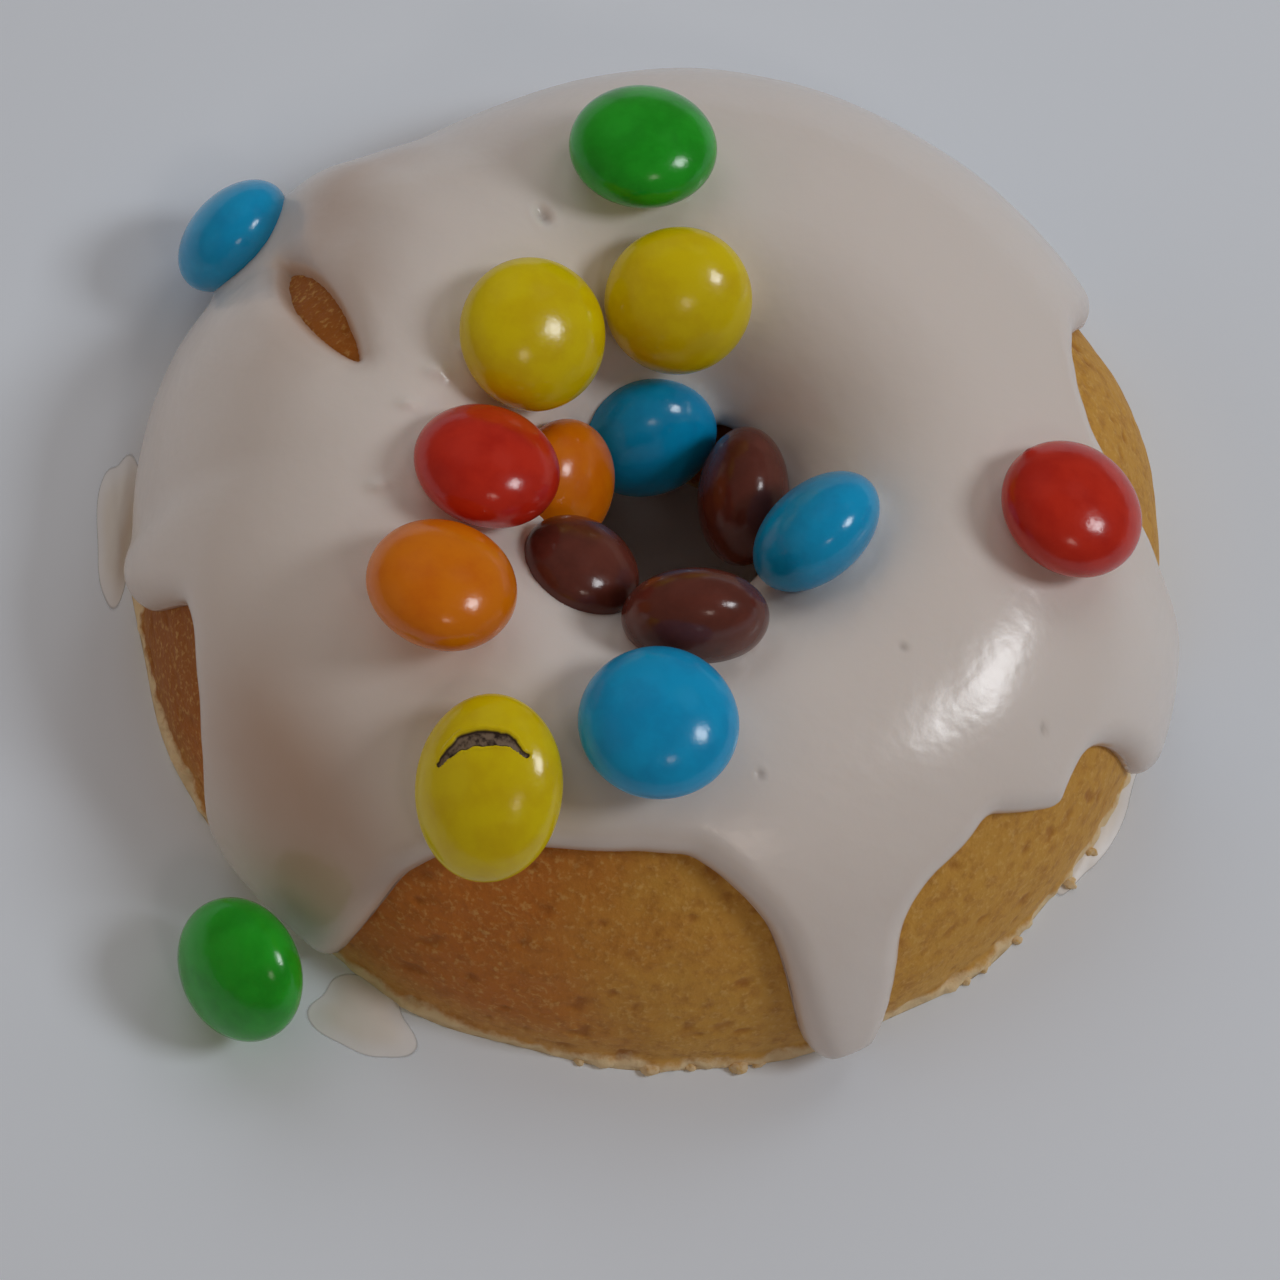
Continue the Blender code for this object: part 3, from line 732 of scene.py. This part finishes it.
def ball_grid(sides, rings):
    """Rows of points round a ball of radius 1: the sine of the polar angle times the cosine and the
    sine of the turn, and the cosine of the polar angle."""
    polar = np.linspace(0.0, np.pi, rings)[:, None]
    turn = np.arange(sides)[None, :] * 2.0 * np.pi / sides
    parts = np.broadcast_arrays(np.sin(polar) * np.cos(turn), np.sin(polar) * np.sin(turn), np.cos(polar))
    return np.stack(parts, axis=-1)


def crack_opening(rounds, half):
    """How far open the shell is, from 0 to 1: 1 on the crack's middle line, falling to 0 at its width.
    The width is greatest in the middle, about a third of that at the ends, and frayed by noise."""
    listed = np.arange(len(CRACK_LINE))
    steps = np.linspace(0.0, listed[-1], CRACK_STEPS + 1)
    line = np.stack([np.interp(steps, listed, side) for side in CRACK_LINE.T], axis=-1)
    away = np.linalg.norm((rounds[..., None, :2] - line) * half[:2], axis=-1)
    along = away.argmin(axis=-1) / CRACK_STEPS
    width = CRACK_WIDTH * np.sin(np.pi * np.clip(along, *CRACK_ENDS)) ** CRACK_FULLNESS
    fray = CRACK_FRAY * lattice_noise(rounds * half + 1.0, 0.45 * MM, 31)
    opening = np.clip(1.0 - (away.min(axis=-1) + fray) / width, 0.0, 1.0)
    return np.where(rounds[..., 2] > 0.0, opening, 0.0)


def candy_shell(node, sides, rings, seed):
    """A candy's surface: an ellipsoid with a slow lumpiness of a hundredth of its size, on the cracked
    one sunk where it is open, with a low lip round that, and on one a small nub at its rim."""
    middle, axes, half = CANDY_POSES[node]
    rounds = ball_grid(sides, rings)
    lumps = lattice_noise(rounds + SHELL_NOISE_SHIFT + seed, SHELL_LUMP_SIZE, seed)
    surface = rounds * half * (1.0 + SHELL_LUMPS * lumps[..., None])
    opened = np.zeros(rounds.shape[:2])
    if node == CRACKED_CANDY:
        opened = crack_opening(rounds, half)
        lip = CRACK_LIP * eased(opened, *CRACK_LIP_RISES) * (1.0 - eased(opened, *CRACK_LIP_FALLS))
        sunk = CRACK_DEPTH * eased(opened, *CRACK_SINKS) - lip
        surface = surface - sunk[..., None] * rounds
        opened = eased(opened, *CRACK_TURNS)
    if node == NUB_CANDY:
        nub = np.exp(-(np.linalg.norm(rounds - NUB_PLACE, axis=-1) / NUB_REACH) ** 2)
        surface = surface * (1.0 + NUB_RISE * nub[..., None])
        opened = NUB_DARK * nub
    mesh = ball_mesh(node + "_shell", surface @ axes + middle)
    note(mesh, "opened", ball_rows(opened))
    return mesh


finishes = {colour: shell_finish(colour) for colour in SHELL_COLOURS}
for number, node in enumerate(CANDY_NODES):
    colour = node.split("_")[1]
    sides, rings = (CRACKED_SIDES, CRACKED_RINGS) if node == CRACKED_CANDY else (CANDY_SIDES, CANDY_RINGS)
    shell = candy_shell(node, sides, rings, number)
    placed(node + "_shell", shell, finishes[colour], node, "sugar_" + colour)

# Spills and crumbs. Thin icing ran down past the foot in a few places and set there as a low film on
# whatever the ring stood on, and crumbs of the torn rim lie against the foot.

# A spill: azimuth in degrees, then in millimetres its distance from the ring's axis, its half length
# along the ring, its half width and its height.
SPILLS = (
    (-105.5, 33.7, 3.3, 2.3, 0.42), (-168.0, 32.8, 5.2, 1.3, 0.60), (-14.5, 31.5, 5.6, 1.1, 0.36),
)

# A crumb: azimuth in degrees, then in millimetres its distance from the ring's axis and its half size.
CRUMBS = (
    (-75.6, 31.75, 0.62), (-66.0, 31.85, 0.58), (-63.8, 31.8, 0.40), (-71.2, 31.6, 0.34),
    (-36.5, 31.7, 0.50), (-39.0, 31.8, 0.36), (-31.5, 31.9, 0.34), (-83.0, 31.7, 0.32),
    (-22.5, 31.9, 0.45), (-18.0, 31.9, 0.38),
)

SPILL_SIDES = 96
SPILL_RINGS = 20
SPILL_BROAD_WAVE = 0.12
SPILL_FINE_WAVE = 0.05
SPILL_DOME_POWER = 1.5
CRUMB_SIDES = 22
CRUMB_RINGS = 12
CRUMB_RAGGEDNESS = 0.34
CRUMB_SHAPE = np.array([1.0, 0.8, 0.7])
CRUMB_LIFT = 0.5
CRUMB_GAP = 0.02 * MM
SPILL_MILKY = (0.830, 0.795, 0.740, 1.0)
SPILL_RIM = (0.860, 0.870, 0.880, 1.0)


def spill_finish():
    """Thin set icing: milky, cooler towards its rim and see-through at the very edge, with a satin gloss
    and a slow ripple."""
    material, tone = new_finish("thin_icing_film")
    ripple = tone.noise(1.8 * MM, detail=2.0)
    colour = (tone.kept("depth") + (ripple - 0.5) * 0.3).step(0.0, 0.8).mix(SPILL_RIM, SPILL_MILKY)
    solid = (tone.kept("depth") + (ripple - 0.5) * 0.03).step(0.0, 0.06)
    complete(tone, Base_Color=colour, Roughness=0.34 + ripple * 0.10, Alpha=solid,
             Normal=tone.bump(ripple * (0.06 * MM)))
    return material


def make_spill(number, azimuth, radius, along, across, height):
    """A low closed film: an oval with a wavy outline, along the ring. Its height falls off from the
    middle as 1 less the square of the share of the way out, to a power, and its bottom lies on the
    floor."""
    azimuth = np.radians(azimuth)
    outward = np.array([np.cos(azimuth), np.sin(azimuth), 0.0])
    ring_way = np.array([-np.sin(azimuth), np.cos(azimuth), 0.0])
    polar = np.linspace(0.0, np.pi, SPILL_RINGS)[:, None]
    turn = np.arange(SPILL_SIDES)[None, :] * 2.0 * np.pi / SPILL_SIDES
    edge = 1.0 + SPILL_BROAD_WAVE * np.sin(3.0 * turn + number)
    edge = edge + SPILL_FINE_WAVE * np.sin(5.0 * turn + 2.0 * number)
    reach = np.sin(polar) * edge
    dome = np.clip(1.0 - np.sin(polar) ** 2, 0.0, 1.0) ** SPILL_DOME_POWER * np.ones_like(turn)
    rise = np.where(np.cos(polar) > 0.0, dome * height * MM, 0.0)
    middle = RING_CENTRE + outward * radius * MM
    points = middle + (reach * np.cos(turn))[..., None] * along * MM * ring_way
    points = points + (reach * np.sin(turn))[..., None] * across * MM * outward
    points[..., 2] += rise
    mesh = ball_mesh("icing_spill_" + str(number), points)
    note(mesh, "depth", ball_rows(dome))
    return mesh


film = spill_finish()
for number, (azimuth, radius, along, across, height) in enumerate(SPILLS, 1):
    mesh = make_spill(number, azimuth, radius, along, across, height)
    mesh.materials.append(film)
    piece = bpy.data.objects.new(mesh.name, mesh)
    bpy.context.scene.collection.objects.link(piece)
    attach(piece, "root")


def crumb_finish():
    """Torn crumb: pale and rough, a little darker in its hollows."""
    material, tone = new_finish("loose_crumb")
    fine = tone.noise(0.30 * MM, detail=3.0)
    colour = fine.step(0.40, 0.75).mix(CRUMB_PALE, CRUST_FLECK)
    complete(tone, Base_Color=colour, Roughness=0.75, Subsurface_Weight=0.1, Subsurface_Scale=0.3,
             Normal=tone.bump(fine * (0.08 * MM)))
    return material


def make_crumb(number, azimuth, radius, size):
    """A ball made ragged by noise of a third of its size, squat and just above the floor."""
    rounds = ball_grid(CRUMB_SIDES, CRUMB_RINGS)
    ragged = 1.0 + CRUMB_RAGGEDNESS * lattice_noise(rounds + 9.0 * number, 0.7, 41 + number)[..., None]
    points = rounds * ragged * size * MM * CRUMB_SHAPE
    points[..., 2] = np.maximum(points[..., 2] + CRUMB_LIFT * size * MM, CRUMB_GAP)
    azimuth = np.radians(azimuth)
    points = points + RING_CENTRE + radius * MM * np.array([np.cos(azimuth), np.sin(azimuth), 0.0])
    return ball_mesh("crumb_" + str(number), points)


torn_crumb = crumb_finish()
for number, (azimuth, radius, size) in enumerate(CRUMBS, 1):
    mesh = make_crumb(number, azimuth, radius, size)
    mesh.materials.append(torn_crumb)
    piece = bpy.data.objects.new(mesh.name, mesh)
    bpy.context.scene.collection.objects.link(piece)
    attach(piece, "root")

# The floor, the lamps and the camera. A plain pale sheet, a soft key lamp on the right, a small one at
# the front right, wide weak ones behind, at the back left and on the left, and the camera above the
# front with its own slight turn.
FLOOR_SIZE = 3.0
FLOOR_COLOUR = (0.82, 0.90, 0.99, 1.0)
WORLD_COLOUR = (1.0, 0.78, 0.64, 1.0)
WORLD_STRENGTH = 0.142
CAMERA_RISE = np.radians(66.0)
CAMERA_TURN = np.radians(16.0)
CAMERA_AWAY = 0.250
PICTURE = 1280.0
LENS_PIXELS = 4050.0
RING_CENTRE_PIXEL = (651.1, 572.3)
SENSOR = 36.0


def make_floor():
    """A flat pale sheet, with a faint grain."""
    half = FLOOR_SIZE / 2.0
    mesh = bpy.data.meshes.new("floor")
    corners = [(-half, -half, 0), (half, -half, 0), (half, half, 0), (-half, half, 0)]
    mesh.from_pydata(corners, [], [(0, 1, 2, 3)])
    material, tone = new_finish("pale_sheet")
    complete(tone, Base_Color=FLOOR_COLOUR, Roughness=0.55 + tone.noise(4.0 * MM) * 0.1)
    mesh.materials.append(material)
    floor = bpy.data.objects.new("floor", mesh)
    bpy.context.scene.collection.objects.link(floor)


def make_lamp(name, place, size, power, colour, mirrored):
    """A square soft lamp that points at the ring: its place and size in metres and its power in watts.
    Only the mirrored ones show as glints."""
    lamp = bpy.data.lights.new(name, "AREA")
    lamp.size = size
    lamp.energy = power
    lamp.color = colour
    holder = bpy.data.objects.new(name, lamp)
    towards = Vector(RING_CENTRE) - Vector(place)
    holder.matrix_world = Matrix.Translation(place) @ towards.to_track_quat("-Z", "Y").to_matrix().to_4x4()
    holder.visible_glossy = mirrored
    bpy.context.scene.collection.objects.link(holder)


def make_camera():
    """Looks down at the ring's centre, rolled so that the ring's +X runs right and down."""
    back = Vector((0.0, -np.cos(CAMERA_RISE), np.sin(CAMERA_RISE)))
    level = Vector((1.0, 0.0, 0.0))
    upward = back.cross(level)
    right = np.cos(CAMERA_TURN) * level + np.sin(CAMERA_TURN) * upward
    up = -np.sin(CAMERA_TURN) * level + np.cos(CAMERA_TURN) * upward
    lens = bpy.data.cameras.new("camera")
    lens.sensor_width = SENSOR
    lens.lens = SENSOR * LENS_PIXELS / PICTURE
    lens.shift_x = (PICTURE / 2.0 - RING_CENTRE_PIXEL[0]) / PICTURE
    lens.shift_y = (RING_CENTRE_PIXEL[1] - PICTURE / 2.0) / PICTURE
    lens.clip_start = 0.01
    camera = bpy.data.objects.new("camera", lens)
    turned = Matrix((right, up, back)).transposed().to_4x4()
    camera.matrix_world = Matrix.Translation(Vector(RING_CENTRE) + back * CAMERA_AWAY) @ turned
    bpy.context.scene.collection.objects.link(camera)
    bpy.context.scene.camera = camera


make_floor()
make_lamp("key_lamp", (0.478, 0.085, 0.505), 0.17, 1.27, (0.95, 0.97, 1.0), True)
make_lamp("back_lamp", (0.175, 0.434, 0.518), 0.25, 0.38, (0.97, 0.97, 1.0), False)
make_lamp("over_lamp", (-0.300, 0.380, 0.500), 0.50, 0.64, (0.90, 0.96, 1.0), False)
make_lamp("front_lamp", (0.270, -0.370, 0.530), 0.09, 0.15, (1.0, 0.84, 0.74), True)
make_lamp("left_lamp", (-0.540, -0.220, 0.300), 0.50, 0.40, (1.0, 0.84, 0.74), False)
world = bpy.data.worlds.new("studio")
world.use_nodes = True
world.node_tree.nodes["Background"].inputs["Color"].default_value = WORLD_COLOUR
world.node_tree.nodes["Background"].inputs["Strength"].default_value = WORLD_STRENGTH
bpy.context.scene.world = world
bpy.context.scene.view_settings.view_transform = "Standard"
make_camera()
